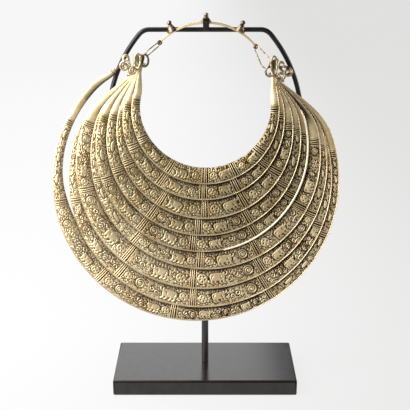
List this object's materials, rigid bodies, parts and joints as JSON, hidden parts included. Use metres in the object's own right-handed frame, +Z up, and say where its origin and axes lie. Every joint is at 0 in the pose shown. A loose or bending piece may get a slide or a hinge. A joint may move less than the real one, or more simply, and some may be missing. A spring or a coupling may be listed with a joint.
{
  "type": "bib necklace on display stand",
  "caption": "Bib necklace of graduated engraved silver torque rings with a knobbed neck strip, hung on a black steel stand with a bent rod and a flat base.",
  "frame": {"origin": "middle of the base plate's underside", "axes": "+X to the right as the front is seen, +Y to the back, +Z up"},
  "size_m": [0.2816, 0.096, 0.3773],
  "materials": {
    "black_paint": "satin black paint, glossier on the base",
    "aged_silver": "worn silver with a warm tone and dark recesses",
    "silver_wire": "dull drawn silver wire"
  },
  "bodies": {
    "root": {"stand_base": "black_paint", "stand_post": "black_paint", "stand_arch": "black_paint", "stand_hook": "black_paint", "neck_strip": "aged_silver", "torque_1": "aged_silver", "torque_2": "aged_silver", "torque_3": "aged_silver", "torque_4": "aged_silver", "torque_5": "aged_silver", "torque_6": "aged_silver", "torque_7": "aged_silver", "torque_8": "aged_silver", "torque_9": "aged_silver", "link_left": "silver_wire", "link_right": "silver_wire", "pin_left": "silver_wire", "pin_right": "silver_wire", "binding_left": "silver_wire", "binding_right": "silver_wire", "coil_left": "silver_wire", "coil_right": "silver_wire", "hairpin_left": "silver_wire", "hairpin_right": "silver_wire"}
  },
  "joints": []
}
